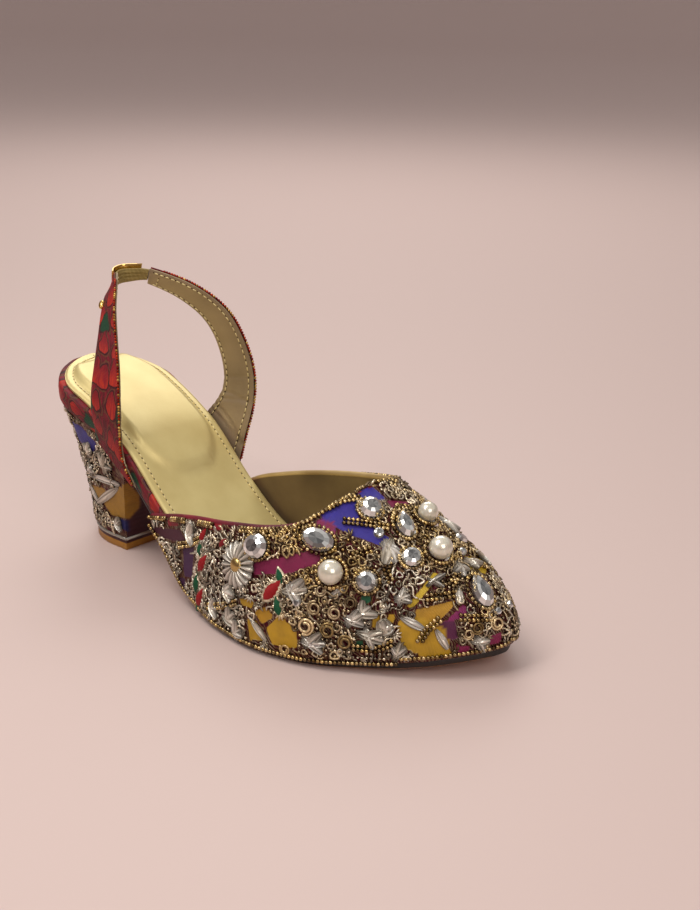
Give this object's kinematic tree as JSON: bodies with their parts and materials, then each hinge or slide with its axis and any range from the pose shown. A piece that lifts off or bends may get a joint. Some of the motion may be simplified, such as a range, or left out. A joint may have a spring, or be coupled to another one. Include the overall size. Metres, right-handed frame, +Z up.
{
  "type": "heeled slingback shoe",
  "caption": "Right-foot slingback shoe with a closed, beaded and jewelled pointed toe, open back with an elastic sling, padded metallic sock and a covered block heel.",
  "frame": {"origin": "on the floor under the ball of the foot, on the line from heel to toe", "axes": "+X to the toe, +Y to the inner side of the foot, +Z up"},
  "size_m": [0.2404, 0.0934, 0.1226],
  "materials": {
    "outsole": "thin smooth unit sole, dark brown edge",
    "brocade": "crimson satin brocade with orange flowers and green leaves",
    "sock_leather": "metallic gold leather, stitched round the edge",
    "embroidery": "cloth covered with metallic thread, beads and patches",
    "elastic": "ribbed gold elastic",
    "clip_metal": "polished gold-coloured metal",
    "heel_cover": "moulded block covered with embroidered cloth",
    "top_lift": "amber tread",
    "pearl": "imitation pearl",
    "stone": "foiled faceted glass"
  },
  "bodies": {
    "root": {"outsole": "outsole", "footbed_board": "brocade", "sock": "sock_leather", "vamp": "embroidery", "sling_strap_lateral": "brocade", "sling_strap_medial": "brocade", "sling_elastic": "elastic", "sling_clip": "clip_metal", "heel_block": "heel_cover", "heel_top_lift": "top_lift", "pearl_lateral": "pearl", "pearl_toe": "pearl", "pearl_ridge": "pearl", "pearl_medial": "pearl", "stone_toe": "stone", "stone_drop": "stone", "stone_throat": "stone", "stone_wing": "stone", "stone_oval": "stone", "stone_low": "stone", "stone_middle": "stone", "stone_medial_wing": "stone", "stone_medial_toe": "stone"}
  },
  "joints": []
}
